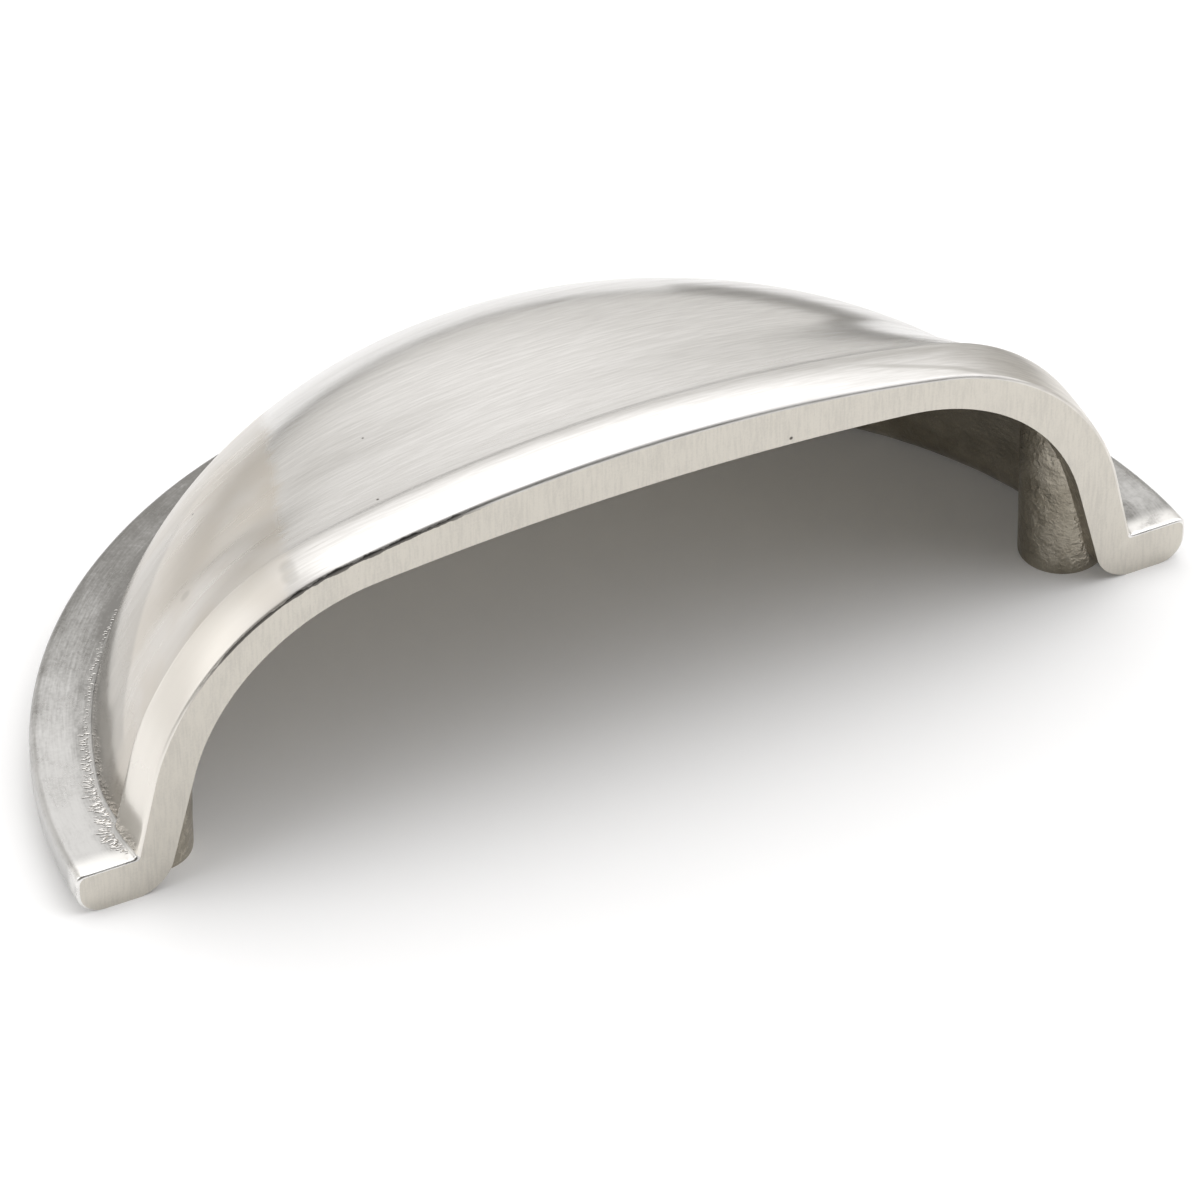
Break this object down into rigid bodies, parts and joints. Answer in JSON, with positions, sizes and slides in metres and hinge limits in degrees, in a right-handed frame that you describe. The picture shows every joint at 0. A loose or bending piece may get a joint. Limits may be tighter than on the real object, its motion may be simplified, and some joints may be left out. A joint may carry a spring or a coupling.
{
  "type": "cabinet cup pull",
  "caption": "Half-round cup pull for a drawer: a hollow satin nickel casting with a flat flange, a low dome, a rolled lip round the finger opening and tapped screw bosses inside.",
  "frame": {"origin": "midway between the two screw holes, on the flat mounting face", "axes": "+X along the pull, +Y from the mouth to the closed back, +Z out from the drawer front; the mouth faces -Y"},
  "size_m": [0.0944, 0.0445, 0.0287],
  "materials": {
    "satin_nickel": "satin nickel, brushed along the pull"
  },
  "bodies": {
    "root": {"cup_pull": "satin_nickel"}
  },
  "joints": []
}
